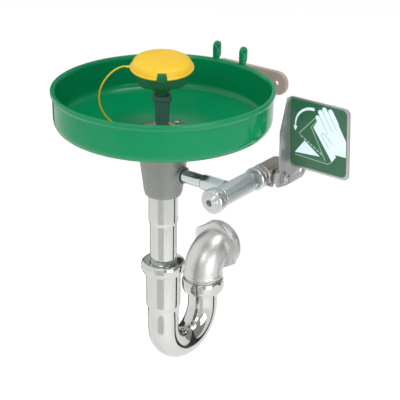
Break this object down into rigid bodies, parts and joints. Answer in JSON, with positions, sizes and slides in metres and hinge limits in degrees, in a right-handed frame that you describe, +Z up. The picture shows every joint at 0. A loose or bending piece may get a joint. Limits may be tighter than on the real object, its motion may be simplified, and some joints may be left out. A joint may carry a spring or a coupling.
{
  "type": "wall-mounted emergency eye and face wash station",
  "caption": "Green bowl with a capped spray head, a push-flag ball valve, a cast wall bracket and a chrome P-trap, for washing eyes and face in an emergency.",
  "frame": {"origin": "centre of the wall plate's back face, against the wall", "axes": "+Z up, +Y into the wall, +X to the right of someone facing the station"},
  "size_m": [0.3617, 0.3302, 0.4416],
  "materials": {
    "bowl_plastic": "glossy moulded ABS, leaf green",
    "rubber": "black moulded rubber",
    "bracket_casting": "grey-brown coated aluminium casting",
    "body_casting": "mid grey satin coat on a casting",
    "steel": "plain satin stainless steel",
    "riser_plastic": "dark grey-green moulded plastic",
    "head_plastic": "dark green moulded plastic",
    "white_plastic": "off-white moulded plastic",
    "yellow_plastic": "warm yellow moulded plastic",
    "satin_chrome": "satin chrome plate",
    "valve_metal": "warm grey brushed nickel plate",
    "chrome": "polished chrome plate",
    "handle_metal": "pale grey satin stainless sheet",
    "label": "printed green and white label",
    "elbow_metal": "satin mottled nickel plate on a casting"
  },
  "bodies": {
    "root": {"bowl": "bowl_plastic", "bowl_gasket": "rubber", "wall_bracket": "bracket_casting", "drain_body": "body_casting", "drain_strainer": "steel", "strainer_screw_1": "steel", "strainer_screw_2": "steel", "strainer_screw_3": "steel", "riser": "riser_plastic", "tether_ring": "yellow_plastic", "spray_head_body": "head_plastic", "spray_plate": "white_plastic", "flow_regulator": "steel", "tether_strap": "yellow_plastic", "supply_nipple": "satin_chrome", "strainer_tee": "satin_chrome", "strainer_screen": "steel", "plug_gasket": "rubber", "strainer_plug": "satin_chrome", "union_nut": "satin_chrome", "valve_end_cap": "satin_chrome", "valve_body": "valve_metal", "ball_seat_front": "white_plastic", "ball_seat_rear": "white_plastic", "packing_nut": "satin_chrome", "tailpiece": "chrome", "slip_nut_inlet": "chrome", "slip_washer_inlet": "rubber", "j_bend": "chrome", "slip_nut_outlet": "chrome", "slip_washer_outlet": "rubber", "outlet_elbow": "elbow_metal"},
    "handle": {"push_handle": "handle_metal", "sign_label": "label", "handle_nut": "steel", "handle_washer": "steel", "valve_stem": "steel", "valve_ball": "chrome"},
    "cap": {"dust_cap": "yellow_plastic"}
  },
  "joints": [
    {"name": "handle_turn", "type": "hinge", "parent": "root", "child": "handle", "pos_m": [0.109, -0.1185, -0.076], "axis": [-1, 0, 0], "range_deg": [0, 90]},
    {"name": "cap_lift", "type": "slide", "parent": "root", "child": "cap", "axis": [0.0767, -0.0947, 0.9925], "range_m": [0, 0.04]}
  ]
}
